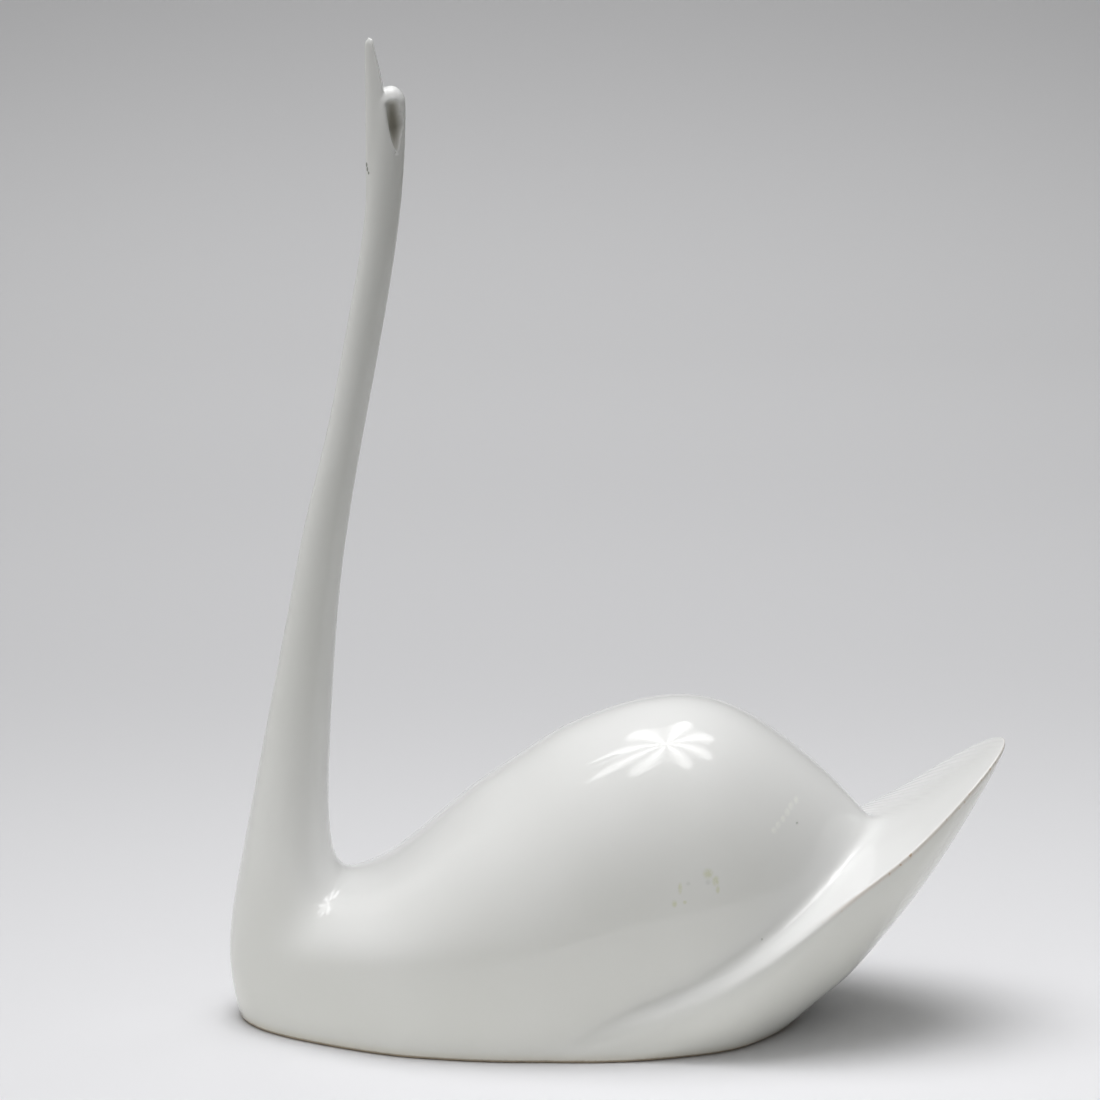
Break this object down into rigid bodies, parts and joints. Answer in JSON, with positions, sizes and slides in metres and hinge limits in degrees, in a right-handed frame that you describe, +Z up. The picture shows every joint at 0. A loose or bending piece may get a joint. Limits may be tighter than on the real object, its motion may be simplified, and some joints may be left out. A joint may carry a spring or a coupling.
{
  "type": "swan figurine",
  "caption": "Tall glazed porcelain swan with its bill held straight up, an egg-shaped back and an upswept tail, on a flat foot.",
  "frame": {"origin": "on the floor plane, under the middle of the flat foot", "axes": "+Z up the neck, +X towards the tip of the tail, +Y across the body; Y = 0 is the plane of symmetry"},
  "size_m": [0.2457, 0.1056, 0.3124],
  "materials": {
    "white_glazed_porcelain": "gloss"
  },
  "bodies": {
    "root": {"swan": "white_glazed_porcelain"}
  },
  "joints": []
}
